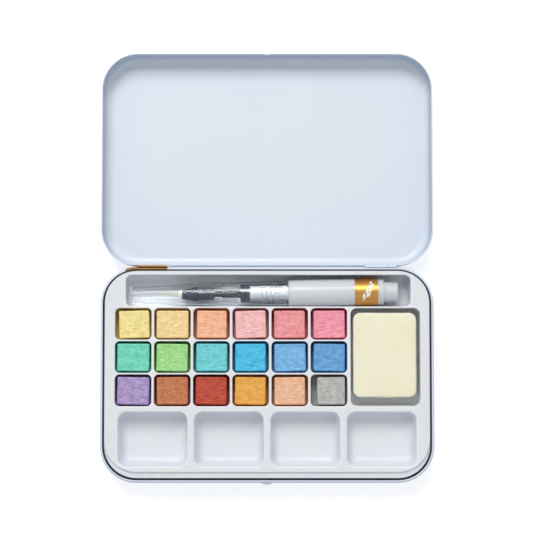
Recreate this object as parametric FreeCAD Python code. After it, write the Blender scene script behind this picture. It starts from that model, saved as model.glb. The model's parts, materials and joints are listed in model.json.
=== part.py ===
import FreeCAD, Part
import os

# A hinged tin of watercolour pans: eighteen paint cakes, a sponge and a capped
# water brush in a formed plastic tray. Sizes are in millimetres. The origin is
# the centre of the base's underside, +X runs along the hinge to the right, +Y
# to the hinge and +Z up. The lid is drawn open, lying flat behind the base.

# Tin, pressed from sheet
tin_width = 150.0
tin_depth = 96.8
tin_corner_radius = 16.5
sheet = 0.3
shoulder_height = 11.0
shoulder_width = 0.75
neck_height = 3.0
lid_height = 11.0
lid_seat_gap = 0.1
hem_thickness = 0.6
hem_height = 1.4
hem_rounding = 0.28
base_bend_radius = 1.6
lid_bend_radius = 4.6

# Snap bump on the base's front wall and thumb notch in the lid's rim
bump_half_width = 3.2
bump_height = 1.2
bump_drop = 3.6
notch_radius = 2.2
notch_depth = 0.8

# Two wire hinges in the back corner of the shoulder
hinge_span = 14.0
hinge_lug = 3.6
hinge_end_inset = 0.2
hinge_axis_gap = 0.2
knuckle_swing_gap = 0.15
knuckle_side_gap = 0.25
knuckle_wall = 0.35
pin_running_gap = 0.04
pin_end_gap = 0.05

# Tray outline
tray_wall = 0.8
tray_side_gap = 0.75
tray_front_gap = 0.9
tray_back_gap = 0.45
tray_rest_gap = 0.1
tray_skirt = 4.0
deck_drop = 0.8
deck_rounding = 0.6
front_step_width = 2.5
front_step_drop = 1.0

# Wells in the tray
pan_columns = 6
pan_rows = 3
pan_left_margin = 4.65
pan_divider_x = 1.1
pan_divider_y = 0.65
pan_floor_rise = 2.5
pan_corner_radius = 2.2
pan_floor_radius = 0.8
pan_draft = 0.3
pan_rounding = 0.27
sponge_well_width = 31.3
sponge_divider = 1.45
sponge_right_margin = 4.2
sponge_floor_rise = 1.5
sponge_corner_radius = 3.0
sponge_floor_radius = 1.0
slot_left_margin = 9.5
slot_right_margin = 8.5
slot_back_margin = 1.9
slot_divider = 0.65
slot_side_room = 1.8
slot_corner_radius = 2.7
slot_floor_radius = 2.4
slot_draft = 0.15
slot_rounding = 0.3
mixing_count = 4
mixing_side_margin = 6.1
mixing_divider_x = 2.95
mixing_divider_y = 2.45
mixing_length = 24.4
mixing_front_margin = 5.1
mixing_floor_rise = 2.0
mixing_corner_radius = 4.0
mixing_floor_radius = 3.2
mixing_draft = 1.3
mixing_rounding = 0.6
well_draft = 0.35

# Paint cakes and sponge
cake_side_gap = 1.17
cake_end_gap = 0.9
cake_recess = 0.9
cake_corner_radius = 1.2
cake_edge_radius = 0.35
cake_slide = -0.25
sponge_left_gap = 1.1
sponge_back_gap = 2.0
sponge_right_gap = 1.6
sponge_front_gap = 3.8
sponge_recess = 0.6
sponge_rest_gap = 0.25
sponge_plan_radius = 2.9
sponge_edge_radius = 1.2

# Water brush, measured along its own axis from the cap's tip
cap_tip_gap = 1.3
tail_gap = 5.4
cap_length = 71.4
cap_tip_radius = 3.65
cap_mid_radius = 5.05
cap_mid_length = 33.0
cap_mouth_radius = 5.6
cap_wall = 0.5
cap_end_wall = 1.2
cap_tip_rounding = 0.8
barrel_cap_gap = 0.3
barrel_radius = 6.1
barrel_flare = 0.2
barrel_flare_length = 8.0
barrel_wall = 0.7
barrel_shoulder_wall = 1.2
barrel_shoulder_rounding = 0.5
neck_radius = 3.4
neck_bore_radius = 2.4
thread_height = 0.35
thread_pitch = 2.0
thread_ridge = 0.9
thread_count = 4
thread_running_gap = 0.1
thread_start = 59.2
band_thickness = 0.12
band_length = 10.5
band_end_gap = 0.4
ring_length = 2.3
ring_inset = 0.25
plug_length = 6.4
plug_radius = 4.6
plug_taper = 0.3
plug_wall = 0.8
plug_spigot = 4.0
pen_rest_gap = 0.25
pen_wall_gap = 0.1
pen_tilt = 0.75
bristle_tip = 11.2
bristle_radius = 1.15
bristle_belly = 0.12
collar_start = 22.6
collar_length = 1.1
collar_radius = 1.7
cone_length = 6.9
cone_front_radius = 2.05
cone_rear_radius = 3.35
ferrule_end = 38.2
ferrule_tail_radius = 2.65
feed_radius = 1.35
section_start = 41.8
section_front_radius = 3.2
section_mid_radius = 4.2
section_rear_radius = 4.5
section_wall = 0.65
section_bead_height = 0.5
section_bead_length = 1.4
valve_start = 50.1
valve_length = 4.2
valve_running_gap = 0.05

# Names, nudges (x, y), turns in degrees and extra width of the cakes, row by row
cakes = [
    ("cake_yellow", 0.35, 0.0, 1.6, -0.4),
    ("cake_peach", 0.0, 0.0, 0.0, 0.3),
    ("cake_salmon", 0.1, 0.0, -0.4, -0.6),
    ("cake_light_pink", 0.0, 0.0, 1.8, -0.2),
    ("cake_rose", -0.1, 0.0, 0.3, -0.2),
    ("cake_pink", 0.15, 0.0, 0.4, 0.0),
    ("cake_mint", 0.0, 0.1, -0.4, 0.4),
    ("cake_green", -0.15, 0.0, -1.1, 0.1),
    ("cake_aqua", 0.1, 0.05, -0.3, -0.1),
    ("cake_cyan", -0.1, 0.05, 0.0, -0.3),
    ("cake_sky_blue", 0.1, 0.0, 1.0, 0.1),
    ("cake_blue", 0.15, 0.0, -0.9, 0.1),
    ("cake_lavender", 0.0, 0.0, -1.2, 0.4),
    ("cake_copper", 0.0, 0.0, 0.3, 0.0),
    ("cake_rust", -0.15, 0.0, -0.6, 0.0),
    ("cake_gold", -0.15, 0.0, -0.9, -0.2),
    ("cake_bronze", 0.0, -0.05, 0.4, -0.3),
    ("cake_silver", 0.95, 0.0, 0.5, -1.5),
]

# Levels and places that follow from the sizes above
hinge_y = tin_depth / 2 + hinge_axis_gap
hinge_z = shoulder_height
knuckle_radius = shoulder_width + hinge_axis_gap - knuckle_swing_gap
pin_radius = knuckle_radius - knuckle_wall
hinge_outer_x = tin_width / 2 - tin_corner_radius - hinge_end_inset
lid_top = shoulder_height + lid_height
neck_top = shoulder_height + neck_height
neck_width = tin_width - 2 * shoulder_width
neck_depth = tin_depth - 2 * shoulder_width
neck_corner_radius = tin_corner_radius - shoulder_width
rim_width = neck_width - 2 * hem_thickness
rim_depth = neck_depth - 2 * hem_thickness
deck_z = neck_top - deck_drop
tray_width = rim_width - 2 * tray_side_gap
tray_depth = rim_depth - tray_front_gap - tray_back_gap
tray_y = (tray_front_gap - tray_back_gap) / 2
tray_corner_radius = neck_corner_radius - hem_thickness - tray_side_gap
tray_left = -tray_width / 2
tray_right = tray_width / 2
tray_back = tray_y + tray_depth / 2
tray_front = tray_y - tray_depth / 2
lowest_floor = sheet + tray_rest_gap + tray_wall
barrel_start = cap_length + barrel_cap_gap
barrel_front_radius = barrel_radius - barrel_flare
band_radius = barrel_radius + band_thickness
slot_back = tray_back - slot_back_margin
slot_front = slot_back - 2 * band_radius - slot_side_room
slot_left = tray_left + slot_left_margin
slot_right = tray_right - slot_right_margin
pen_length = slot_right - slot_left - cap_tip_gap - tail_gap
ring_start = pen_length - plug_length - ring_length
pan_back = slot_front - slot_divider
mixing_front = tray_front + mixing_front_margin
mixing_back = mixing_front + mixing_length
pan_front = mixing_back + mixing_divider_y
pan_left = tray_left + pan_left_margin
sponge_well_right = tray_right - sponge_right_margin
sponge_well_left = sponge_well_right - sponge_well_width
pan_right = sponge_well_left - sponge_divider
pan_width = (pan_right - pan_left - (pan_columns - 1) * pan_divider_x) / pan_columns
pan_length = (pan_back - pan_front - (pan_rows - 1) * pan_divider_y) / pan_rows
mixing_span = tray_width - 2 * mixing_side_margin - (mixing_count - 1) * mixing_divider_x
mixing_width = mixing_span / mixing_count
pan_floor = lowest_floor + pan_floor_rise
sponge_floor = lowest_floor + sponge_floor_rise
mixing_floor = lowest_floor + mixing_floor_rise
section_bore_radius = neck_radius + thread_height + thread_running_gap

# Where the water brush lies: its shoulder rests beside the slot's front wall
pen_shoulder_x = slot_left + cap_tip_gap + barrel_start
pen_shoulder_y = slot_front + slot_draft + pen_wall_gap + barrel_front_radius
pen_z = lowest_floor + pen_rest_gap + band_radius

# How far cutting bodies pass the surface, and how far edge searches look past a well
CUT_ROOM = 2.0
EDGE_ROOM = 0.05
X_AXIS = FreeCAD.Vector(1, 0, 0)
Y_AXIS = FreeCAD.Vector(0, 1, 0)
Z_AXIS = FreeCAD.Vector(0, 0, 1)


def rounded_prism(width, depth, radius, low, high, x=0.0, y=0.0):
    """An upright block with rounded corners, centred on x and y."""
    block = Part.makeBox(width, depth, high - low)
    block.translate(FreeCAD.Vector(x - width / 2, y - depth / 2, low))
    upright = [edge for edge in block.Edges if abs(edge.tangentAt(edge.FirstParameter).z) > 0.99]
    return block.makeFillet(radius, upright)


def block_between(low_corner, high_corner):
    """A plain box between two opposite corners."""
    size = FreeCAD.Vector(*high_corner) - FreeCAD.Vector(*low_corner)
    return Part.makeBox(size.x, size.y, size.z, FreeCAD.Vector(*low_corner))


def edges_at(shape, height):
    """The edges that lie wholly in the level plane at one height."""
    found = []
    for edge in shape.Edges:
        box = edge.BoundBox
        if abs(box.ZMin - height) < 1e-4 and abs(box.ZMax - height) < 1e-4:
            found.append(edge)
    return found


def rod(radius, start, end, y, z):
    """A round bar along X from start to end."""
    return Part.makeCylinder(radius, end - start, FreeCAD.Vector(start, y, z), X_AXIS)


# ---------------------------------------------------------------- the tin

def hinge_starts():
    """The X where each hinge's barrel starts, left and right."""
    return [("left", -hinge_outer_x), ("right", hinge_outer_x - hinge_span)]


def base_lugs(start):
    """X spans of a hinge's two outer knuckles, which belong to the base."""
    end = start + hinge_span
    return [(start, start + hinge_lug), (end - hinge_lug, end)]


def lid_lug(start):
    """X span of a hinge's middle knuckle, which belongs to the lid."""
    reach = hinge_lug + knuckle_side_gap
    return start + reach, start + hinge_span - reach


def knuckle_window(start, end, low, high):
    """The slot that a swinging knuckle needs in the other half's rim."""
    swing = knuckle_radius + knuckle_swing_gap
    near = (start - knuckle_side_gap, hinge_y - swing, low)
    far = (end + knuckle_side_gap, hinge_y + swing, high)
    return block_between(near, far)


def pin_bore(radius):
    """Both hinges' pin holes."""
    bores = [rod(radius, start, start + hinge_span, hinge_y, hinge_z) for _, start in hinge_starts()]
    return Part.Compound(bores)


def bump_cap(inset):
    """The snap bump in front of the wall's inner face: a ball's cap, made smaller by inset."""
    ball_radius = (bump_half_width ** 2 + bump_height ** 2) / (2 * bump_height)
    centre_y = -tin_depth / 2 - bump_height + ball_radius
    centre = FreeCAD.Vector(0, centre_y, shoulder_height - bump_drop)
    ball = Part.makeSphere(ball_radius - inset, centre, Y_AXIS)
    wall_y = -tin_depth / 2 + sheet
    reach = ball_radius + CUT_ROOM
    zone = block_between((-reach, centre_y - reach, centre.z - reach), (reach, wall_y, centre.z + reach))
    return ball.common(zone)


def make_base():
    """Lower half: floor, wall, shoulder, hemmed neck, snap bump and outer knuckles."""
    bottom = rounded_prism(tin_width, tin_depth, tin_corner_radius, 0, shoulder_height)
    bottom = bottom.makeFillet(base_bend_radius, edges_at(bottom, 0))
    bottom = bottom.makeFillet(hem_rounding, edges_at(bottom, shoulder_height))
    neck = rounded_prism(neck_width, neck_depth, neck_corner_radius, shoulder_height - sheet, neck_top)
    outside = bottom.fuse(neck).fuse(bump_cap(0))

    inner_radius = tin_corner_radius - sheet
    ceiling = shoulder_height - sheet
    room = rounded_prism(tin_width - 2 * sheet, tin_depth - 2 * sheet, inner_radius, sheet, ceiling)
    room = room.makeFillet(base_bend_radius - sheet, edges_at(room, sheet))
    throat = rounded_prism(neck_width - 2 * sheet, neck_depth - 2 * sheet, neck_corner_radius - sheet,
                           ceiling - CUT_ROOM, neck_top + CUT_ROOM)
    base = outside.cut([room, throat, bump_cap(sheet)])

    hem = rounded_prism(neck_width, neck_depth, neck_corner_radius, neck_top - hem_height, neck_top)
    hem_hole = rounded_prism(rim_width, rim_depth, neck_corner_radius - hem_thickness,
                             neck_top - hem_height - CUT_ROOM, neck_top + CUT_ROOM)
    base = base.fuse(hem.cut(hem_hole)).removeSplitter()
    base = base.makeFillet(hem_rounding, edges_at(base, neck_top))

    for _, start in hinge_starts():
        swing = knuckle_radius + knuckle_swing_gap
        low, high = lid_lug(start)
        base = base.cut(knuckle_window(low, high, hinge_z - swing, hinge_z + CUT_ROOM))
        lugs = [rod(knuckle_radius, first, last, hinge_y, hinge_z) for first, last in base_lugs(start)]
        base = base.fuse(lugs)
    return base.cut(pin_bore(pin_radius)).removeSplitter()


def make_closed_lid():
    """Upper half as it sits when shut: panel, bend, hemmed skirt and middle knuckles."""
    rim = shoulder_height + lid_seat_gap
    outside = rounded_prism(tin_width, tin_depth, tin_corner_radius, rim, lid_top)
    outside = outside.makeFillet(lid_bend_radius, edges_at(outside, lid_top))
    room = rounded_prism(tin_width - 2 * sheet, tin_depth - 2 * sheet, tin_corner_radius - sheet,
                         rim - CUT_ROOM, lid_top - sheet)
    room = room.makeFillet(lid_bend_radius - sheet, edges_at(room, lid_top - sheet))
    hem = rounded_prism(tin_width, tin_depth, tin_corner_radius, rim, rim + hem_height)
    hem_hole = rounded_prism(tin_width - 2 * hem_thickness, tin_depth - 2 * hem_thickness,
                             tin_corner_radius - hem_thickness, rim - CUT_ROOM, rim + hem_height + CUT_ROOM)
    lid = outside.cut(room).fuse(hem.cut(hem_hole)).removeSplitter()
    lid = lid.makeFillet(hem_rounding, edges_at(lid, rim))

    notch_centre = FreeCAD.Vector(0, -tin_depth / 2 - CUT_ROOM, rim + notch_depth - notch_radius)
    lid = lid.cut(Part.makeCylinder(notch_radius, 2 * CUT_ROOM, notch_centre, Y_AXIS))

    for _, start in hinge_starts():
        swing = knuckle_radius + knuckle_swing_gap
        for first, last in base_lugs(start):
            lid = lid.cut(knuckle_window(first, last, rim - CUT_ROOM, hinge_z + swing))
        low, high = lid_lug(start)
        lid = lid.fuse(rod(knuckle_radius, low, high, hinge_y, hinge_z))
    return lid.cut(pin_bore(pin_radius + pin_running_gap)).removeSplitter()


def make_lid():
    """The lid swung half a turn about the pins, lying open behind the base."""
    lid = make_closed_lid()
    lid.rotate(FreeCAD.Vector(0, hinge_y, hinge_z), X_AXIS, -180)
    return lid


def make_pin(start):
    """One hinge wire, tight in the base's knuckles."""
    return rod(pin_radius, start + pin_end_gap, start + hinge_span - pin_end_gap, hinge_y, hinge_z)


# ---------------------------------------------------------------- the tray

def drafted_well(left, right, front, back, floor, draft, corner_radius, floor_radius, wall=0.0):
    """A well's room, or with a wall its outer form: narrower at the floor, open above the deck."""
    top = deck_z + (CUT_ROOM if wall == 0.0 else -tray_wall / 2)
    bottom = floor - wall
    slope = draft / (deck_z - floor)
    low_inset = slope * (deck_z - bottom) - wall
    high_inset = slope * (deck_z - top) - wall
    solid = Part.makeWedge(left + low_inset, bottom, -back + low_inset, -back + high_inset, left + high_inset,
                           right - low_inset, top, -front - low_inset, -front - high_inset, right - high_inset)
    solid.rotate(FreeCAD.Vector(0, 0, 0), X_AXIS, 90)
    slanted = [edge for edge in solid.Edges if edge.BoundBox.ZLength > (top - bottom) / 2]
    solid = solid.makeFillet(corner_radius + wall, slanted)
    return solid.makeFillet(floor_radius + wall, edges_at(solid, bottom))


def well_list():
    """Every well of the tray: its outline, floor, draft, radii and rim rounding."""
    wells = []
    for row in range(pan_rows):
        back = pan_back - row * (pan_length + pan_divider_y)
        for column in range(pan_columns):
            left = pan_left + column * (pan_width + pan_divider_x)
            wells.append(((left, left + pan_width, back - pan_length, back, pan_floor,
                           pan_draft, pan_corner_radius, pan_floor_radius), pan_rounding))
    for index in range(mixing_count):
        left = tray_left + mixing_side_margin + index * (mixing_width + mixing_divider_x)
        wells.append(((left, left + mixing_width, mixing_front, mixing_back, mixing_floor,
                       mixing_draft, mixing_corner_radius, mixing_floor_radius), mixing_rounding))
    wells.append(((sponge_well_left, sponge_well_right, pan_front, pan_back, sponge_floor,
                   well_draft, sponge_corner_radius, sponge_floor_radius), slot_rounding))
    wells.append(((slot_left, slot_right, slot_front, slot_back, lowest_floor,
                   slot_draft, slot_corner_radius, slot_floor_radius), slot_rounding))
    return wells


def tray_plan(low, high, inset=0.0, shift=0.0):
    """The tray's outline as a block, drawn in by inset and moved back by shift."""
    return rounded_prism(tray_width - 2 * inset, tray_depth - 2 * inset, tray_corner_radius - inset,
                         low, high, 0, tray_y + shift)


def make_deck():
    """The tray's top sheet with its skirt and the low step along the front."""
    skirt_low = deck_z - tray_skirt
    step_z = deck_z - front_step_drop
    deck = tray_plan(skirt_low, deck_z)
    raised = tray_plan(step_z, deck_z + CUT_ROOM, shift=front_step_width)
    step = tray_plan(step_z, deck_z + CUT_ROOM, inset=-CUT_ROOM).cut(raised)
    deck = deck.cut(step).removeSplitter()
    deck = deck.makeFillet(deck_rounding, edges_at(deck, deck_z))
    under_step = tray_plan(skirt_low - CUT_ROOM, step_z - tray_wall, inset=tray_wall)
    under_deck = tray_plan(skirt_low - CUT_ROOM, deck_z - tray_wall, inset=tray_wall)
    under_deck = under_deck.common(tray_plan(skirt_low - CUT_ROOM, deck_z, tray_wall, front_step_width))
    return deck.cut([under_step, under_deck])


def rim_edges(shape, well):
    """The edges of one well's mouth in the deck."""
    left, right, front, back = well[:4]
    found = []
    for edge in edges_at(shape, deck_z):
        box = edge.BoundBox
        inside_x = box.XMin > left - EDGE_ROOM and box.XMax < right + EDGE_ROOM
        inside_y = box.YMin > front - EDGE_ROOM and box.YMax < back + EDGE_ROOM
        if inside_x and inside_y:
            found.append(edge)
    return found


def make_tray():
    """The formed tray: deck, wells and rounded well mouths, in one piece."""
    wells = well_list()
    shells = [drafted_well(*outline, wall=tray_wall) for outline, _ in wells]
    rooms = [drafted_well(*outline) for outline, _ in wells]
    tray = make_deck().fuse(shells).cut(rooms).removeSplitter()
    for outline, rounding in wells:
        tray = tray.makeFillet(rounding, rim_edges(tray, outline))
    return tray


# ---------------------------------------------------------------- cakes and sponge

def make_cake(row, column, nudge_x, nudge_y, turn, extra_width):
    """One paint cake, lying a little askew on the floor of its well."""
    x = pan_left + column * (pan_width + pan_divider_x) + pan_width / 2 + nudge_x
    y = pan_back - row * (pan_length + pan_divider_y) - pan_length / 2 + cake_slide + nudge_y
    width = pan_width - 2 * cake_side_gap + extra_width
    length = pan_length - 2 * cake_end_gap
    cake = rounded_prism(width, length, cake_corner_radius, pan_floor, deck_z - cake_recess, x, y)
    cake = cake.makeFillet(cake_edge_radius, edges_at(cake, deck_z - cake_recess))
    cake = cake.makeFillet(pan_floor_radius, edges_at(cake, pan_floor))
    cake.rotate(FreeCAD.Vector(x, y, 0), Z_AXIS, turn)
    return cake


def make_sponge():
    """The sponge block, pushed to the back left of its well."""
    left = sponge_well_left + sponge_left_gap
    right = sponge_well_right - sponge_right_gap
    front = pan_front + sponge_front_gap
    back = pan_back - sponge_back_gap
    low = sponge_floor + sponge_rest_gap
    high = deck_z - sponge_recess
    block = rounded_prism(right - left, back - front, sponge_plan_radius, low, high,
                          (left + right) / 2, (front + back) / 2)
    return block.makeFillet(sponge_edge_radius, edges_at(block, low) + edges_at(block, high))


# ---------------------------------------------------------------- the water brush

def turned(points):
    """A solid of revolution about the pen's axis from (along, radius) points."""
    loop = [FreeCAD.Vector(along, radius, 0) for along, radius in points]
    face = Part.Face(Part.makePolygon(loop + [loop[0]]))
    return face.revolve(FreeCAD.Vector(0, 0, 0), X_AXIS, 360)


def laid_in_slot(shape):
    """Moves a pen piece from its own axis to its place in the slot."""
    shape.translate(FreeCAD.Vector(-barrel_start, 0, 0))
    shape.rotate(FreeCAD.Vector(0, 0, 0), Z_AXIS, pen_tilt)
    shape.translate(FreeCAD.Vector(pen_shoulder_x, pen_shoulder_y, pen_z))
    return shape


def edges_of_radius(shape, along, radius):
    """Circular edges of a turned piece at one station and radius."""
    found = []
    for edge in shape.Edges:
        box = edge.BoundBox
        flat = box.XLength < 1e-4 and abs(box.XMin - along) < 1e-4
        if flat and abs(box.ZMax - radius) < 1e-3:
            found.append(edge)
    return found


def make_cap():
    """Clear cap: closed, slowly widening tube."""
    bore_tip = cap_tip_radius - cap_wall
    cap = turned([
        (0, 0),
        (0, cap_tip_radius),
        (cap_mid_length, cap_mid_radius),
        (cap_length, cap_mouth_radius),
        (cap_length, cap_mouth_radius - cap_wall),
        (cap_mid_length, cap_mid_radius - cap_wall),
        (cap_end_wall, bore_tip),
        (cap_end_wall, 0),
    ])
    return cap.makeFillet(cap_tip_rounding, edges_of_radius(cap, 0, cap_tip_radius))


def make_section():
    """Clear grip section: nose around the feed, threaded socket behind, bead that holds the cap."""
    rear = barrel_start - barrel_cap_gap - section_wall
    bead = rear - 2 * section_bead_length
    mid = valve_start - section_wall
    return turned([
        (section_start, feed_radius),
        (section_start, section_front_radius),
        (mid, section_mid_radius),
        (bead, section_rear_radius),
        (bead + section_bead_length / 2, section_rear_radius + section_bead_height),
        (bead + section_bead_length, section_rear_radius),
        (rear, section_rear_radius),
        (rear, section_bore_radius),
        (valve_start - valve_running_gap, section_bore_radius),
        (valve_start - valve_running_gap, feed_radius),
    ])


def make_ferrule():
    """Dark ferrule: cone in front, plain tube behind, bored for bristles and feed."""
    cone_start = collar_start + collar_length
    cone_end = cone_start + cone_length
    return turned([
        (cone_start, bristle_radius),
        (cone_start, cone_front_radius),
        (cone_end, cone_rear_radius),
        (cone_end + ring_inset, ferrule_tail_radius),
        (ferrule_end, ferrule_tail_radius),
        (ferrule_end, bristle_radius),
    ])


def make_collar():
    """Pale ring that closes the ferrule's mouth around the bristles."""
    end = collar_start + collar_length
    return turned([
        (collar_start, bristle_radius),
        (collar_start, collar_radius),
        (end, cone_front_radius),
        (end, bristle_radius),
    ])


def bristle_root():
    """How far back the bristles reach inside the ferrule."""
    return collar_start + collar_length + cone_length / 2


def make_bristles():
    """Pointed round tuft."""
    belly = (bristle_tip + 2 * collar_start) / 3
    return turned([
        (bristle_tip, 0),
        ((bristle_tip + belly) / 2, bristle_radius / 2 + bristle_belly),
        (belly, bristle_radius),
        (bristle_root(), bristle_radius),
        (bristle_root(), 0),
    ])


def make_feed():
    """Wick rod from the bristles through the section to the valve."""
    return turned([
        (bristle_root(), 0),
        (bristle_root(), bristle_radius),
        (ferrule_end, bristle_radius),
        (ferrule_end, feed_radius),
        (valve_start + valve_length, feed_radius),
        (valve_start + valve_length, 0),
    ])


def make_valve_ring():
    """Dark seal ring between section and barrel."""
    end = valve_start + valve_length
    return turned([
        (valve_start, feed_radius + thread_running_gap),
        (valve_start, section_bore_radius - valve_running_gap),
        (end, section_bore_radius - valve_running_gap),
        (end, feed_radius + thread_running_gap),
    ])


def make_barrel():
    """Frosted reservoir with its threaded neck, open at the tail."""
    neck_start = valve_start + valve_length + thread_running_gap
    flare_end = barrel_start + barrel_flare_length
    barrel = turned([
        (neck_start, neck_bore_radius),
        (neck_start, neck_radius),
        (barrel_start, neck_radius),
        (barrel_start, barrel_front_radius),
        (flare_end, barrel_radius),
        (ring_start, barrel_radius),
        (ring_start, barrel_radius - barrel_wall),
        (flare_end, barrel_radius - barrel_wall),
        (barrel_start + barrel_shoulder_wall, barrel_front_radius - barrel_wall),
        (barrel_start + barrel_shoulder_wall, neck_bore_radius),
    ])
    barrel = barrel.makeFillet(barrel_shoulder_rounding,
                               edges_of_radius(barrel, barrel_start, barrel_front_radius))
    crest = neck_radius + thread_height
    ridges = []
    for turn in range(thread_count):
        start = thread_start + turn * thread_pitch
        slope = thread_ridge / 4
        ridges.append(turned([
            (start, neck_radius - slope),
            (start, neck_radius),
            (start + slope, crest),
            (start + thread_ridge - slope, crest),
            (start + thread_ridge, neck_radius),
            (start + thread_ridge, neck_radius - slope),
        ]))
    return barrel.fuse(ridges).removeSplitter()


def make_band():
    """Thin printed band around the barrel's tail."""
    end = ring_start - band_end_gap
    return turned([
        (end - band_length, barrel_radius),
        (end - band_length, band_radius),
        (end, band_radius),
        (end, barrel_radius),
    ])


def make_tail_plug():
    """Hollow plug: spigot in the barrel, stop ring and narrower tail."""
    bore = barrel_radius - barrel_wall
    ring_end = ring_start + ring_length
    plug = turned([
        (ring_start - plug_spigot, plug_radius - plug_wall),
        (ring_start - plug_spigot, bore),
        (ring_start, bore),
        (ring_start, barrel_radius - ring_inset),
        (ring_end, barrel_radius - ring_inset),
        (ring_end, plug_radius),
        (pen_length, plug_radius - plug_taper),
        (pen_length, 0),
        (pen_length - plug_wall, 0),
        (pen_length - plug_wall, plug_radius - plug_taper - plug_wall),
    ])
    rims = edges_of_radius(plug, pen_length, plug_radius - plug_taper)
    rims += edges_of_radius(plug, ring_end, barrel_radius - ring_inset)
    return plug.makeFillet(plug_taper, rims)


# ---------------------------------------------------------------- all pieces

def make_parts():
    """Every piece of the set by its name."""
    parts = {
        "base_tin": make_base(),
        "lid_tin": make_lid(),
        "tray": make_tray(),
        "sponge": make_sponge(),
    }
    for side, start in hinge_starts():
        parts["hinge_pin_" + side] = make_pin(start)
    for number, (name, nudge_x, nudge_y, turn, extra_width) in enumerate(cakes):
        row, column = divmod(number, pan_columns)
        parts[name] = make_cake(row, column, nudge_x, nudge_y, turn, extra_width)
    pen_pieces = {
        "pen_cap": make_cap(),
        "pen_section": make_section(),
        "pen_ferrule": make_ferrule(),
        "pen_collar": make_collar(),
        "pen_bristles": make_bristles(),
        "pen_feed": make_feed(),
        "pen_valve_ring": make_valve_ring(),
        "pen_barrel": make_barrel(),
        "pen_label_band": make_band(),
        "pen_tail_plug": make_tail_plug(),
    }
    for name, shape in pen_pieces.items():
        parts[name] = laid_in_slot(shape)
    return parts


os.makedirs("parts", exist_ok=True)
for name, shape in make_parts().items():
    print(name, "solids", len(shape.Solids), "valid", shape.isValid(), "volume", round(shape.Volume, 1))
    shape.exportStep("parts/" + name + ".step")
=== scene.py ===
import json
import math
import random

import bpy
from mathutils import Matrix, Vector, noise


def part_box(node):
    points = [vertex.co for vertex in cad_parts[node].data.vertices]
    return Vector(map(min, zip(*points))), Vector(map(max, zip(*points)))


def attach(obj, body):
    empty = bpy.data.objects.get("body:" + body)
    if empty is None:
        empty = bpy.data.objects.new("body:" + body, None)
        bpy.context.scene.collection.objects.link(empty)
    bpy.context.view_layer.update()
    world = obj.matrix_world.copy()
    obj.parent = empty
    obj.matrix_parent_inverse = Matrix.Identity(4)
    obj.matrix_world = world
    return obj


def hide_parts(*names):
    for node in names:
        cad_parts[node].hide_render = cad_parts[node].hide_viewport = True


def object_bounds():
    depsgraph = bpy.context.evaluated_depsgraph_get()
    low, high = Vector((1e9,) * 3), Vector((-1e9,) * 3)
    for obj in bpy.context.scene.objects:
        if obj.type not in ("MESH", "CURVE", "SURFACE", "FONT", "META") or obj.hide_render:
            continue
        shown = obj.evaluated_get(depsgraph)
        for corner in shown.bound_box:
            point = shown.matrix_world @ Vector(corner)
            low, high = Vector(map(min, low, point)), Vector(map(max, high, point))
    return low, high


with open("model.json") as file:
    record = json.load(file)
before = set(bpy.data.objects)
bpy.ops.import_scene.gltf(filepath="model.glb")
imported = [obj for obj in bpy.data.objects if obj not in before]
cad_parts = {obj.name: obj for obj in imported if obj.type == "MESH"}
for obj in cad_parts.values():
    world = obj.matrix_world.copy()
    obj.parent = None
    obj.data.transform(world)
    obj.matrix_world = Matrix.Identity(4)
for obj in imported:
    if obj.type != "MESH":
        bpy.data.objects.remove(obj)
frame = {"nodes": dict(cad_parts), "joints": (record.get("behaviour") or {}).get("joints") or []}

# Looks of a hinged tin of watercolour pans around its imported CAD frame. Metres
# throughout, in the frame's own axes: +X along the hinge, +Y to the open lid,
# +Z up. Places on the object come from the CAD nodes' boxes and the joints.

CAD_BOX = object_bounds()
MM = 0.001
NODES = frame["nodes"]
JOINTS = {joint["name"]: joint for joint in frame["joints"]}
DECK_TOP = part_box("tray")[1].z
PAN_COLUMNS = 6
CAKE_COLOURS = [
    ("cake_yellow", (0.95, 0.8, 0.34)),
    ("cake_peach", (0.97, 0.73, 0.36)),
    ("cake_salmon", (0.97, 0.53, 0.33)),
    ("cake_light_pink", (0.97, 0.56, 0.55)),
    ("cake_rose", (0.92, 0.36, 0.37)),
    ("cake_pink", (0.96, 0.36, 0.45)),
    ("cake_mint", (0.2, 0.73, 0.53)),
    ("cake_green", (0.41, 0.77, 0.3)),
    ("cake_aqua", (0.19, 0.69, 0.71)),
    ("cake_cyan", (0.07, 0.57, 0.82)),
    ("cake_sky_blue", (0.22, 0.52, 0.83)),
    ("cake_blue", (0.15, 0.42, 0.73)),
    ("cake_lavender", (0.47, 0.35, 0.61)),
    ("cake_copper", (0.62, 0.22, 0.09)),
    ("cake_rust", (0.57, 0.07, 0.025)),
    ("cake_gold", (0.89, 0.46, 0.075)),
    ("cake_bronze", (0.91, 0.55, 0.35)),
    ("cake_silver", (0.53, 0.54, 0.5)),
]


# ---------------------------------------------------------------- node helpers

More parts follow.
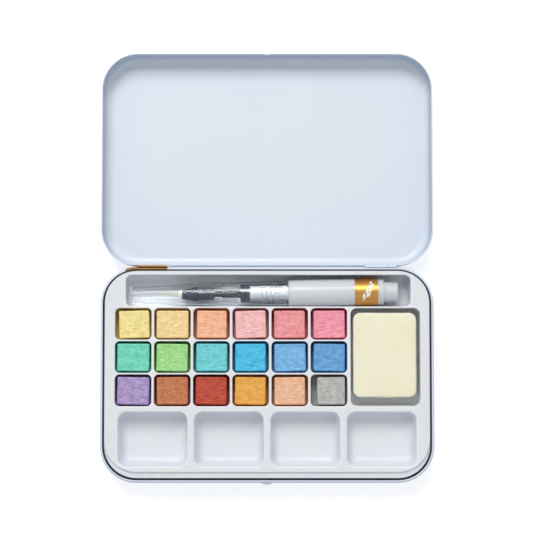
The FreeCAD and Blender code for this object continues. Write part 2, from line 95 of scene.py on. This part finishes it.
class Look:
    """One procedural material and short ways to add nodes to it."""

    def __init__(self, name, **inputs):
        self.material = bpy.data.materials.new(name)
        self.material.use_nodes = True
        self.tree = self.material.node_tree
        self.shader = self.tree.nodes["Principled BSDF"]
        self.set(**inputs)
        coordinates = self.node("ShaderNodeTexCoord")
        self.place = coordinates.outputs["Object"]
        self.facing = coordinates.outputs["Normal"]

    def set(self, **inputs):
        for key, value in inputs.items():
            self.shader.inputs[key.replace("_", " ")].default_value = value

    def node(self, kind, **settings):
        made = self.tree.nodes.new(kind)
        for key, value in settings.items():
            setattr(made, key, value)
        return made

    def link(self, source, target):
        self.tree.links.new(source, target)

    def feed(self, target, value):
        if isinstance(value, bpy.types.NodeSocket):
            self.link(value, target)
        else:
            target.default_value = value

    def noise(self, scale, detail=3.0, roughness=0.5, stretch=(1, 1, 1), turn=0.0):
        mapping = self.node("ShaderNodeMapping")
        mapping.inputs["Scale"].default_value = stretch
        mapping.inputs["Rotation"].default_value = (0, 0, turn)
        self.link(self.place, mapping.inputs["Vector"])
        texture = self.node("ShaderNodeTexNoise")
        texture.inputs["Scale"].default_value = scale
        texture.inputs["Detail"].default_value = detail
        texture.inputs["Roughness"].default_value = roughness
        self.link(mapping.outputs["Vector"], texture.inputs["Vector"])
        return texture.outputs["Fac"]

    def cells(self, scale):
        texture = self.node("ShaderNodeTexVoronoi")
        texture.inputs["Scale"].default_value = scale
        self.link(self.place, texture.inputs["Vector"])
        return texture.outputs["Distance"]

    def math(self, operation, first, second=0.0):
        made = self.node("ShaderNodeMath", operation=operation)
        self.feed(made.inputs[0], first)
        self.feed(made.inputs[1], second)
        return made.outputs[0]

    def spread(self, value, low, high, out_low=0.0, out_high=1.0):
        made = self.node("ShaderNodeMapRange")
        self.feed(made.inputs["Value"], value)
        ends = {"From Min": low, "From Max": high, "To Min": out_low, "To Max": out_high}
        for key, number in ends.items():
            made.inputs[key].default_value = number
        return made.outputs["Result"]

    def mix(self, factor, first, second):
        made = self.node("ShaderNodeMix", data_type="RGBA")
        self.feed(made.inputs["Factor"], factor)
        for socket, value in ((made.inputs[6], first), (made.inputs[7], second)):
            self.feed(socket, value if isinstance(value, bpy.types.NodeSocket) else (*value, 1))
        return made.outputs[2]

    def along(self, axis):
        split = self.node("ShaderNodeSeparateXYZ")
        self.link(self.place, split.inputs[0])
        return split.outputs[axis]

    def steepness(self, level, upright):
        """0 where the normal's upward share is over level, 1 where it is under upright."""
        split = self.node("ShaderNodeSeparateXYZ")
        self.link(self.facing, split.inputs[0])
        return self.spread(self.math("ABSOLUTE", split.outputs[2]), upright, level, 1, 0)

    def between(self, value, low, high):
        above = self.math("GREATER_THAN", value, low)
        below = self.math("LESS_THAN", value, high)
        return self.math("MULTIPLY", above, below)

    def let_lamps_through(self, tint):
        """Thin clear walls cast almost no shadow."""
        rays = self.node("ShaderNodeLightPath")
        through = self.node("ShaderNodeBsdfTransparent")
        through.inputs["Color"].default_value = (*tint, 1)
        blend = self.node("ShaderNodeMixShader")
        self.link(rays.outputs["Is Shadow Ray"], blend.inputs["Fac"])
        self.link(self.shader.outputs["BSDF"], blend.inputs[1])
        self.link(through.outputs["BSDF"], blend.inputs[2])
        self.link(blend.outputs["Shader"], self.tree.nodes["Material Output"].inputs["Surface"])

    def colour(self, source):
        self.link(source, self.shader.inputs["Base Color"])

    def bump(self, height, distance, strength=1.0):
        made = self.node("ShaderNodeBump")
        made.inputs["Distance"].default_value = distance
        made.inputs["Strength"].default_value = strength
        self.link(height, made.inputs["Height"])
        self.link(made.outputs["Normal"], self.shader.inputs["Normal"])


def paint(names, look):
    """Gives CAD nodes or pieces a material in place of their own."""
    for name in names:
        data = bpy.data.objects[name].data
        data.materials.clear()
        data.materials.append(look.material)


# ---------------------------------------------------------------- materials

def enamel():
    """Glossy bluish-white lacquer on the tin, with painted shade on its steep walls and bends, and the gold
    print at the left hinge.
    """
    look = Look("tin_enamel", Coat_Weight=0.1, Coat_Roughness=0.15, Specular_IOR_Level=0.35)
    cloud = look.noise(22, 3)
    level = look.mix(look.spread(cloud, 0.35, 0.65), (0.715, 0.765, 0.830), (0.730, 0.780, 0.842))
    # Painted shade: steep faces, the walls and bends, are mixed towards a darker blue-grey.
    wall_shade_mask = look.steepness(0.80, 0.35)
    white_with_painted_wall_shade = look.mix(look.math("MULTIPLY", wall_shade_mask, 0.75), level, (0.430, 0.520, 0.680))
    pin_low, pin_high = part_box("hinge_pin_left")
    print_left = pin_low.x - 5.4 * MM
    print_right = pin_high.x - 0.5 * MM
    print_front = pin_low.y - 2.4 * MM
    print_back = pin_high.y + 0.12 * MM
    print_bottom = pin_low.z - 1.6 * MM
    in_x = look.between(look.along(0), print_left, print_right)
    in_y = look.between(look.along(1), print_front, print_back)
    in_z = look.math("GREATER_THAN", look.along(2), print_bottom)
    gold = look.math("MULTIPLY", look.math("MULTIPLY", in_x, in_y), in_z)
    look.colour(look.mix(gold, white_with_painted_wall_shade, (0.29, 0.150, 0.050)))
    look.link(look.math("MULTIPLY", gold, 0.5), look.shader.inputs["Metallic"])
    look.link(look.spread(look.noise(160, 4), 0.3, 0.7, 0.28, 0.40), look.shader.inputs["Roughness"])
    look.bump(look.noise(300, 2), 0.006 * MM, 0.3)
    return look


def tray_colour_index(look):
    """Number of the pan cell that a point lies in, from 0 to 1 over all cells, and the mask of the pans."""
    boxes = [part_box(name) for name, _ in CAKE_COLOURS]
    centres = [(low + high) / 2 for low, high in boxes]
    rows = len(centres) // PAN_COLUMNS
    first_x = sum(centres[row * PAN_COLUMNS].x for row in range(rows)) / rows
    last_x = sum(centres[row * PAN_COLUMNS + PAN_COLUMNS - 1].x for row in range(rows)) / rows
    pitch_x = (last_x - first_x) / (PAN_COLUMNS - 1)
    top_y = sum(c.y for c in centres[:PAN_COLUMNS]) / PAN_COLUMNS
    end_y = sum(c.y for c in centres[-PAN_COLUMNS:]) / PAN_COLUMNS
    pitch_y = (top_y - end_y) / (rows - 1)
    left = first_x - pitch_x / 2
    back = top_y + pitch_y / 2 + 0.25 * MM
    right = left + pitch_x * PAN_COLUMNS
    front = back - pitch_y * rows
    column = look.math("FLOOR", look.spread(look.along(0), left, right, 0, PAN_COLUMNS))
    row = look.math("FLOOR", look.spread(look.along(1), back, front, 0, rows))
    cell = look.math("ADD", look.math("MULTIPLY", row, PAN_COLUMNS), column)
    index = look.math("DIVIDE", look.math("ADD", cell, 0.5), len(CAKE_COLOURS))
    in_x = look.between(look.along(0), left, right)
    in_y = look.between(look.along(1), front, back)
    return index, look.math("MULTIPLY", in_x, in_y)


def tray_plastic():
    """Glossy white moulding with painted shade on its steep well walls, stained inside each pan well by its
    paint.
    """
    look = Look("tray_plastic", Coat_Weight=0.05, Coat_Roughness=0.3, Specular_IOR_Level=0.4)
    look.set(Subsurface_Weight=0.5, Subsurface_Scale=2.5 * MM)
    look.shader.inputs["Subsurface Radius"].default_value = (1.0, 1.0, 1.0)
    index, in_pans = tray_colour_index(look)
    stain_paleness = 0.18
    stain_share = 0.78
    stain_full = DECK_TOP - 0.42 * MM
    stain_none = DECK_TOP - 0.12 * MM
    ramp = look.node("ShaderNodeValToRGB")
    ramp.color_ramp.interpolation = "CONSTANT"
    stops = ramp.color_ramp.elements
    for number, (_, colour) in enumerate(CAKE_COLOURS):
        place = number / len(CAKE_COLOURS)
        stop = stops[0] if number == 0 else stops[1] if number == 1 else stops.new(place)
        stop.position = place
        stop.color = [stain_paleness + stain_share * channel for channel in colour] + [1]
    look.link(index, ramp.inputs["Fac"])
    uneven = look.math("MULTIPLY", look.noise(900, 3), 0.35 * MM)
    height = look.math("ADD", look.along(2), uneven)
    below = look.spread(height, stain_full, stain_none, 1, 0)
    stain = look.math("MULTIPLY", below, in_pans)
    cloud = look.spread(look.noise(35, 3), 0.35, 0.65)
    level = look.mix(cloud, (0.850, 0.860, 0.885), (0.870, 0.878, 0.897))
    # Painted shade: steep faces, the well walls, are mixed towards a darker blue-white.
    white_with_painted_wall_shade = look.mix(look.math("MULTIPLY", look.steepness(0.95, 0.5), 0.7), level, (0.740, 0.790, 0.880))
    look.colour(look.mix(stain, white_with_painted_wall_shade, ramp.outputs["Color"]))
    look.link(look.spread(look.noise(240, 4), 0.3, 0.7, 0.36, 0.48), look.shader.inputs["Roughness"])
    look.bump(look.noise(150, 2), 0.02 * MM, 0.3)
    return look


def wire_steel():
    """Drawn hinge wire with lengthwise scratches."""
    look = Look("hinge_wire", Metallic=1.0)
    streak = look.noise(4000, 2, stretch=(0.04, 1, 1))
    look.colour(look.mix(streak, (0.42, 0.42, 0.44), (0.62, 0.62, 0.64)))
    look.link(look.spread(streak, 0.3, 0.7, 0.25, 0.4), look.shader.inputs["Roughness"])
    look.bump(streak, 0.01 * MM, 0.5)
    return look


def cake_paint(name, colour):
    """Pearlescent pressed paint: mica flecks, darker patches and a soft metallic sheen."""
    look = Look(name, Metallic=0.12, Specular_IOR_Level=0.6)
    look.set(Sheen_Weight=0.15, Sheen_Roughness=0.4)
    dark = [channel ** 1.3 * 0.84 for channel in colour]
    pale = [min(1.0, channel * 0.9 + 0.20) for channel in colour]
    cloud = look.spread(look.noise(420, 5, 0.7), 0.36, 0.62)
    body = look.mix(cloud, dark, colour)
    fleck = look.spread(look.noise(5200, 2, 0.7), 0.58, 0.74)
    look.colour(look.mix(look.math("MULTIPLY", fleck, 0.6), body, pale))
    look.link(look.spread(fleck, 0, 1, 0.52, 0.30), look.shader.inputs["Roughness"])
    grain = look.math("ADD", look.noise(1500, 4, 0.65), look.math("MULTIPLY", look.noise(4200, 3), 0.4))
    look.bump(grain, 0.12 * MM, 0.9)
    return look


def foam():
    """Fine cream cellulose sponge with small open pores, painted darker inside as their shade."""
    look = Look("sponge_foam", Roughness=0.92, Subsurface_Weight=0.8, Subsurface_Scale=3 * MM)
    look.set(Sheen_Weight=0.25, Sheen_Roughness=0.6)
    look.shader.inputs["Subsurface Radius"].default_value = (1.0, 0.85, 0.6)
    cloud = look.spread(look.noise(70, 3), 0.35, 0.65)
    cream = look.mix(cloud, (0.925, 0.850, 0.640), (0.950, 0.885, 0.700))
    pores = look.spread(look.cells(2600), 0.12, 0.4)
    fine = look.noise(5200, 3, 0.6)
    # Painted shade: the pore centres are mixed to a darker cream for the shade inside them.
    look.colour(look.mix(pores, (0.86, 0.77, 0.53), cream))
    look.bump(look.math("ADD", pores, look.math("MULTIPLY", fine, 0.6)), 0.10 * MM, 0.55)
    return look


def clear_plastic():
    """Clear moulded plastic of cap and section, with faint flow marks."""
    look = Look("pen_clear", Transmission_Weight=1.0, IOR=1.30, Specular_IOR_Level=0.5)
    look.colour(look.mix(look.noise(60, 2), (0.95, 0.96, 0.97), (0.985, 0.99, 0.995)))
    look.link(look.spread(look.noise(300, 3), 0.3, 0.7, 0.01, 0.05), look.shader.inputs["Roughness"])
    look.bump(look.noise(120, 2, stretch=(0.2, 1, 1)), 0.02 * MM, 0.3)
    look.let_lamps_through((0.93, 0.94, 0.95))
    return look


def frosted_plastic():
    """Milky, slightly see-through plastic of barrel and plug."""
    look = Look("pen_frosted", Transmission_Weight=0.35, IOR=1.45, Coat_Weight=0.2, Coat_Roughness=0.2)
    look.colour(look.mix(look.noise(50, 3), (0.89, 0.91, 0.94), (0.93, 0.945, 0.96)))
    look.link(look.spread(look.noise(350, 3), 0.3, 0.7, 0.30, 0.42), look.shader.inputs["Roughness"])
    look.bump(look.noise(900, 2), 0.012 * MM, 0.5)
    return look


def dark_plastic():
    """Black plastic of ferrule, feed and seal, with fine turning lines."""
    look = Look("pen_dark", Coat_Weight=0.4, Coat_Roughness=0.12)
    rings = look.noise(2600, 2, stretch=(1, 0.03, 0.03))
    look.colour(look.mix(rings, (0.018, 0.024, 0.036), (0.05, 0.062, 0.082)))
    look.link(look.spread(rings, 0.3, 0.7, 0.18, 0.34), look.shader.inputs["Roughness"])
    look.bump(rings, 0.03 * MM, 0.6)
    return look


def pale_plastic():
    """Off-white collar."""
    look = Look("pen_pale", Coat_Weight=0.2)
    look.colour(look.mix(look.noise(800, 3), (0.74, 0.75, 0.74), (0.84, 0.84, 0.82)))
    look.link(look.spread(look.noise(900, 2), 0.3, 0.7, 0.25, 0.4), look.shader.inputs["Roughness"])
    return look


def hair():
    """Pale nylon bristle with fine lengthwise streaks."""
    look = Look("bristle", Specular_IOR_Level=0.5, Sheen_Weight=0.2)
    strand = look.noise(6000, 2, stretch=(0.03, 1, 1))
    look.colour(look.mix(strand, (0.72, 0.69, 0.55), (0.88, 0.86, 0.76)))
    look.link(look.spread(strand, 0.3, 0.7, 0.3, 0.5), look.shader.inputs["Roughness"])
    return look


def gold_foil():
    """Satin gold print on the band, with fine brushing around it."""
    look = Look("gold_band", Metallic=0.85)
    brushing = look.noise(3000, 3, stretch=(1, 0.05, 0.05))
    look.colour(look.mix(brushing, (0.62, 0.30, 0.065), (0.78, 0.42, 0.11)))
    look.link(look.spread(brushing, 0.3, 0.7, 0.26, 0.42), look.shader.inputs["Roughness"])
    look.bump(brushing, 0.01 * MM, 0.4)
    return look


def white_print():
    """Opaque white ink of the band's leaf ornament."""
    look = Look("white_print")
    look.colour(look.mix(look.noise(2500, 3), (0.82, 0.81, 0.77), (0.92, 0.91, 0.88)))
    look.link(look.spread(look.noise(1500, 2), 0.3, 0.7, 0.4, 0.6), look.shader.inputs["Roughness"])
    return look


# ---------------------------------------------------------------- mesh helpers

def piece_from(name, points, faces, look, body, smooth=True):
    """A mesh piece with its material, riding on a CAD body."""
    mesh = bpy.data.meshes.new(name)
    mesh.from_pydata([tuple(p) for p in points], [], faces)
    mesh.validate()
    for polygon in mesh.polygons:
        polygon.use_smooth = smooth
    mesh.materials.append(look.material)
    piece = bpy.data.objects.new(name, mesh)
    bpy.context.scene.collection.objects.link(piece)
    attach(piece, body)
    return piece


def rounded_plan(x, y, half_x, half_y, radius):
    """Moves a point of a square-cornered grid so that the grid's corners are round."""
    over_x = abs(x) - (half_x - radius)
    over_y = abs(y) - (half_y - radius)
    if over_x <= 0 or over_y <= 0:
        return x, y
    reach = max(over_x, over_y)
    angle = math.atan2(over_y, over_x)
    new_x = half_x - radius + reach * math.cos(angle)
    new_y = half_y - radius + reach * math.sin(angle)
    return math.copysign(new_x, x), math.copysign(new_y, y)


def block_mesh(half_x, half_y, low, high, plan_radius, edge_radius, step, relief):
    """Points and faces of a soft-edged block. relief(x, y, inset) is the top's height change."""
    across = max(8, round(2 * half_x / step))
    along = max(8, round(2 * half_y / step))
    index = {}
    points = []
    faces = []

    def add(key, point):
        index[key] = len(points)
        points.append(Vector(point))

    for i in range(across + 1):
        for j in range(along + 1):
            flat_x = -half_x + 2 * half_x * i / across
            flat_y = -half_y + 2 * half_y * j / along
            inset = min(half_x - abs(flat_x), half_y - abs(flat_y))
            x, y = rounded_plan(flat_x, flat_y, half_x, half_y, plan_radius)
            fall = 0.0
            if inset < edge_radius:
                fall = edge_radius - math.sqrt(max(0.0, edge_radius ** 2 - (edge_radius - inset) ** 2))
            add((i, j), (x, y, high - fall + relief(x, y, inset)))
    for i in range(across):
        for j in range(along):
            faces.append([index[i, j], index[i + 1, j], index[i + 1, j + 1], index[i, j + 1]])

    loop = [(i, 0) for i in range(across)] + [(across, j) for j in range(along)]
    loop += [(i, along) for i in range(across, 0, -1)] + [(0, j) for j in range(along, 0, -1)]
    levels = 8
    above = [index[key] for key in loop]
    for level in range(1, levels + 1):
        ring = []
        for top in [index[key] for key in loop]:
            start = points[top]
            z = start.z + (low - start.z) * level / levels
            tuck = edge_radius * 0.6 * max(0.0, level / levels - 0.85) / 0.15
            shrink = 1 - tuck / max(half_x, half_y)
            ring.append(len(points))
            points.append(Vector((start.x * shrink, start.y * shrink, z)))
        for k in range(len(loop)):
            after = (k + 1) % len(loop)
            faces.append([above[k], ring[k], ring[after], above[after]])
        above = ring
    faces.append(list(reversed(above)))
    return points, faces


# ---------------------------------------------------------------- paint cakes

def cake_turn(node):
    """How far a CAD cake is turned about Z, from its longest level edge."""
    data = NODES[node].data
    best, angle = 0.0, 0.0
    for edge in data.edges:
        start, end = (data.vertices[k].co for k in edge.vertices)
        run = end - start
        if abs(run.z) < 1e-6 and run.length > best and abs(run.x) > 4 * abs(run.y):
            best = run.length
            angle = math.atan2(run.y * math.copysign(1, run.x), abs(run.x))
    return angle


def make_cake(number, node, colour):
    """A pressed paint cake with a wrinkled top, raised lip and ragged edges."""
    draw = random.Random(400 + number)
    low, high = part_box(node)
    centre = (low + high) / 2
    turn = cake_turn(node)
    size = high - low
    spin = abs(math.tan(turn))
    half_x = (size.x - size.y * spin) / 2 / (1 - spin ** 2) * math.cos(turn)
    half_y = (size.y - size.x * spin) / 2 / (1 - spin ** 2) * math.cos(turn)
    shift = Vector((draw.uniform(-50, 50), draw.uniform(-50, 50), number * 7.0))
    grain = draw.uniform(-0.25, 0.25)
    rough = draw.uniform(0.75, 1.25)
    sink = draw.uniform(0.15, 0.30) * MM
    wrinkle_height = 0.10
    ridge_height = 0.09
    pit_height = 0.07
    lump_height = 0.11
    lip_height = 0.09

    def relief(x, y, inset):
        along = (x * math.cos(grain) + y * math.sin(grain)) / MM
        across = (y * math.cos(grain) - x * math.sin(grain)) / MM
        wrinkle = noise.noise(Vector((along * 0.35, across * 1.1, 0)) + shift)
        ridge = 1 - abs(noise.noise(Vector((along * 0.55, across * 1.5, 3)) + shift)) * 2
        pits = noise.noise(Vector((along * 2.1, across * 2.9, 9)) + shift)
        lump = noise.noise(Vector((along * 0.14, across * 0.14, 5)) + shift)
        calm = min(1.0, inset / (1.1 * MM))
        lip = math.exp(-((inset / MM - 0.75) / 0.45) ** 2) * lip_height
        front = 1.0 + 0.5 * min(1.0, max(-1.0, -y / half_y))
        fine = wrinkle_height * wrinkle + ridge_height * (ridge - 0.6) + pit_height * pits
        height = rough * front * fine * calm
        return (height + lump_height * lump + lip) * MM - sink

    points, faces = block_mesh(
        half_x, half_y, low.z, high.z,
        plan_radius=0.8 * MM, edge_radius=0.38 * MM, step=0.24 * MM, relief=relief,
    )
    rotation = Matrix.Rotation(turn, 3, "Z")
    for point in points:
        level = (point.z - low.z) / (high.z - low.z)
        side = Vector((point.x, point.y, 0)) / MM
        ragged = noise.noise(side * 0.55 + shift) * 0.10 + noise.noise(side * 1.9 + shift) * 0.05
        edge = max(abs(point.x) / half_x, abs(point.y) / half_y)
        scale = 1 + min(0.0, ragged - 0.02) * MM / half_y * max(0.0, edge - 0.8) / 0.2 * (0.4 + 0.6 * level)
        flat = rotation @ Vector((point.x * scale, point.y * scale, 0))
        point.x = centre.x + flat.x
        point.y = centre.y + flat.y
    look = cake_paint(node + "_paint", colour)
    piece = piece_from(node + "_pressed", points, faces, look, "tray")
    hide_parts(node)


# ---------------------------------------------------------------- sponge

def make_sponge():
    """Cellulose sponge: crowned top, softly rounded edges and uneven sides."""
    low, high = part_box("sponge")
    centre = (low + high) / 2
    half_x = (high.x - low.x) / 2
    half_y = (high.y - low.y) / 2
    shift = Vector((11.3, 4.7, 2.1))

    def relief(x, y, inset):
        place = Vector((x, y, 0)) / MM
        crown = (1 - (x / half_x) ** 4) * (1 - (y / half_y) ** 4)
        waves = 0.10 * noise.noise(place * 0.16 + shift) + 0.035 * noise.noise(place * 0.7 + shift)
        pores = -0.05 * max(0.0, noise.noise(place * 2.6 + shift) - 0.25)
        return (0.16 * (crown - 1) + waves + pores - 0.12) * MM

    points, faces = block_mesh(
        half_x, half_y, low.z, high.z,
        plan_radius=3.4 * MM, edge_radius=0.9 * MM, step=0.4 * MM, relief=relief,
    )
    for point in points:
        side = Vector((point.x, point.y, point.z * 2)) / MM
        dent = 0.5 * noise.noise(side * 0.13 + shift) + 0.12 * noise.noise(side * 0.9 + shift)
        level = (point.z - low.z) / (high.z - low.z)
        waist = -0.25 * math.sin(math.pi * min(1.0, level))
        edge = max(abs(point.x) / half_x, abs(point.y) / half_y)
        scale = 1 + min(0.0, 0.3 * dent - 0.04 + waist * 0.6) * MM / half_x * max(0.0, edge - 0.7) / 0.3
        point.x = centre.x + point.x * scale
        point.y = centre.y + point.y * scale
    piece = piece_from("sponge_block", points, faces, foam(), "sponge")
    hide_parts("sponge")


# ---------------------------------------------------------------- water brush

def pen_axis():
    """A point on the brush's axis and its direction towards the tail."""
    joint = JOINTS["cap_twist"]
    return Vector(joint["pos_m"]), Vector(joint["axis"]).normalized()


def pen_frame():
    """Matrix from the brush's own axes, X along it, to the row frame."""
    origin, direction = pen_axis()
    up = Vector((0, 0, 1))
    side = up.cross(direction)
    turn = Matrix((direction, side, up)).transposed().to_4x4()
    return Matrix.Translation(origin) @ turn


def node_span(node):
    """Where a brush node starts and ends along the brush's axis."""
    origin, direction = pen_axis()
    marks = [(v.co - origin).dot(direction) for v in NODES[node].data.vertices]
    return min(marks), max(marks)


def make_tuft():
    """Bristles as separate tapered hairs that meet in one point."""
    start, end = node_span("pen_bristles")
    low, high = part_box("pen_bristles")
    root_radius = (high.z - low.z) / 2 * 0.93
    place = pen_frame()
    draw = random.Random(71)
    points, faces = [], []
    hairs = 90
    stations = 14
    sides = 5
    for hair_number in range(hairs):
        share = math.sqrt((hair_number + 0.5) / hairs)
        angle = hair_number * math.pi * (3 - math.sqrt(5))
        reach = (end - start) * (1 - 0.16 * draw.random() * (0.3 + share))
        wander = draw.uniform(-0.5, 0.5)
        first = len(points)
        for station in range(stations + 1):
            along = station / stations
            belly = 1 + 0.10 * math.sin(math.pi * min(1.0, along * 1.6))
            spread = root_radius * share * belly * (1 - max(0.0, along - 0.25) / 0.75) ** 0.85
            thick = 0.085 * MM * (1 - 0.85 * along ** 2)
            bend = angle + wander * along
            centre = Vector((end - reach * along, spread * math.cos(bend), spread * math.sin(bend)))
            for side in range(sides):
                around = 2 * math.pi * side / sides
                ring = Vector((0, thick * math.cos(around), thick * math.sin(around)))
                points.append(place @ (centre + ring))
        for station in range(stations):
            for side in range(sides):
                after = (side + 1) % sides
                a = first + station * sides
                faces.append([a + side, a + after, a + sides + after, a + sides + side])
        faces.append([first + side for side in range(sides)][::-1])
        faces.append([first + stations * sides + side for side in range(sides)])
    piece = piece_from("pen_bristle_tuft", points, faces, hair(), "pen")
    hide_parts("pen_bristles")


def band_surface(place, centre_along, radius, u, v, lift):
    """A point of the band: u along the brush and v around it, both in metres from the mark's centre."""
    angle = math.pi / 2 - v / radius
    reach = radius + lift
    return place @ Vector((centre_along + u, reach * math.cos(angle), reach * math.sin(angle)))


def make_band_ornament():
    """A generic white leaf sprig printed on the gold band."""
    start, end = node_span("pen_label_band")
    low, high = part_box("pen_label_band")
    radius = (high.z - low.z) / 2
    centre_along = (start + end) / 2 + 0.4 * MM
    place = pen_frame()
    points, faces = [], []

    def add_strip(line, widths):
        first = len(points)
        for k, (u, v) in enumerate(line):
            before = line[max(0, k - 1)]
            after = line[min(len(line) - 1, k + 1)]
            run = Vector((after[0] - before[0], after[1] - before[1])).normalized()
            side = Vector((-run.y, run.x)) * widths[k] / 2
            for sign in (1, -1):
                edge_u, edge_v = u + sign * side.x, v + sign * side.y
                for lift in (0.03 * MM, -0.02 * MM):
                    points.append(band_surface(place, centre_along, radius, edge_u, edge_v, lift))
        for k in range(len(line) - 1):
            a, b = first + 4 * k, first + 4 * (k + 1)
            faces.append([a, a + 2, b + 2, b])
            faces.append([a + 1, b + 1, b + 3, a + 3])
            faces.append([a, b, b + 1, a + 1])
            faces.append([a + 2, a + 3, b + 3, b + 2])
        last = first + 4 * (len(line) - 1)
        faces.append([first, first + 1, first + 3, first + 2])
        faces.append([last, last + 2, last + 3, last + 1])

    def stem(t):
        return (-2.1 + 4.0 * t + 0.6 * math.sin(3.0 * t)) * MM, (-4.6 + 9.2 * t) * MM

    steps = 24
    line = [stem(k / steps) for k in range(steps + 1)]
    add_strip(line, [0.42 * MM * (1 - 0.6 * k / steps) for k in range(steps + 1)])
    leaf_steps = 10
    for number in range(7):
        t = 0.12 + 0.13 * number
        root_u, root_v = stem(t)
        sign = 1 if number % 2 else -1
        lean = math.radians(65 - sign * 48)
        length = (3.0 - 0.22 * number) * MM
        leaf, widths = [], []
        for k in range(leaf_steps + 1):
            share = k / leaf_steps
            turn = lean + sign * 0.5 * share
            leaf.append((root_u + length * share * math.cos(turn), root_v + length * share * math.sin(turn)))
            widths.append(1.1 * MM * math.sin(math.pi * (0.04 + 0.94 * share)) ** 0.8)
        add_strip(leaf, widths)
    piece = piece_from("band_leaf_print", points, faces, white_print(), "barrel", smooth=False)


# ---------------------------------------------------------------- stage

def make_floor():
    """A wide pale floor with a faint paper grain."""
    look = Look("floor_paper", Roughness=0.7)
    look.colour(look.mix(look.noise(300, 3), (0.62, 0.62, 0.62), (0.66, 0.66, 0.66)))
    look.set(Emission_Color=(1, 1, 1, 1), Emission_Strength=0.58)
    half = 3.0
    mesh = bpy.data.meshes.new("floor")
    level = CAD_BOX[0].z - 0.05 * MM
    corners = [(-half, -half, level), (half, -half, level), (half, half, level), (-half, half, level)]
    mesh.from_pydata(corners, [], [(0, 1, 2, 3)])
    mesh.materials.append(look.material)
    floor = bpy.data.objects.new("floor", mesh)
    bpy.context.scene.collection.objects.link(floor)


def add_softbox(name, place, aim, size, power, colour=(1, 1, 1)):
    """A square area light that faces a point."""
    light = bpy.data.lights.new(name, "AREA")
    light.shape = "SQUARE"
    light.size = size
    light.energy = power
    light.color = colour
    lamp = bpy.data.objects.new(name, light)
    lamp.location = place
    lamp.rotation_euler = (Vector(aim) - Vector(place)).to_track_quat("-Z", "Y").to_euler()
    bpy.context.scene.collection.objects.link(lamp)


def make_lights():
    """Soft key from behind the lid and a little left, weak fill from the front, pale surroundings."""
    middle = (CAD_BOX[0] + CAD_BOX[1]) / 2
    add_softbox("key", middle + Vector((-0.25, 1.05, 1.42)), middle, 0.8, 19)
    add_softbox("fill", middle + Vector((0.7, -0.9, 1.2)), middle, 1.2, 1.5, (0.93, 0.96, 1.0))
    world = bpy.data.worlds.new("pale_room")
    world.use_nodes = True
    background = world.node_tree.nodes["Background"]
    background.inputs["Color"].default_value = (0.95, 0.97, 1.0, 1)
    background.inputs["Strength"].default_value = 0.53
    bpy.context.scene.world = world
    bpy.context.scene.view_settings.view_transform = "Standard"


def make_camera():
    """A long lens almost straight above, set a few degrees towards the front."""
    height = 688 * MM
    tilt = math.radians(3.13)
    target = Vector((-0.26 * MM, (CAD_BOX[0].y + CAD_BOX[1].y) / 2 + 0.53 * MM, 11 * MM))
    data = bpy.data.cameras.new("camera")
    data.lens = 101.6
    data.sensor_width = 36
    data.clip_start = 0.01
    camera = bpy.data.objects.new("camera", data)
    reach = height - target.z
    camera.location = target + Vector((0, -reach * math.tan(tilt), reach))
    camera.rotation_euler = (tilt, 0, 0)
    bpy.context.scene.collection.objects.link(camera)
    bpy.context.scene.camera = camera


# ---------------------------------------------------------------- the whole set

def paint_cad_nodes():
    """Materials of the CAD nodes that stay visible. The left wire lies inside the gold print."""
    paint(["base_tin", "lid_tin", "hinge_pin_left"], enamel())
    paint(["tray"], tray_plastic())
    paint(["hinge_pin_right"], wire_steel())
    paint(["pen_cap", "pen_section"], clear_plastic())
    paint(["pen_barrel", "pen_tail_plug"], frosted_plastic())
    paint(["pen_ferrule", "pen_feed", "pen_valve_ring"], dark_plastic())
    paint(["pen_collar"], pale_plastic())
    paint(["pen_label_band"], gold_foil())


make_camera()
make_lights()
make_floor()
paint_cad_nodes()
for number, (node, colour) in enumerate(CAKE_COLOURS):
    make_cake(number, node, colour)
make_sponge()
make_tuft()
make_band_ornament()
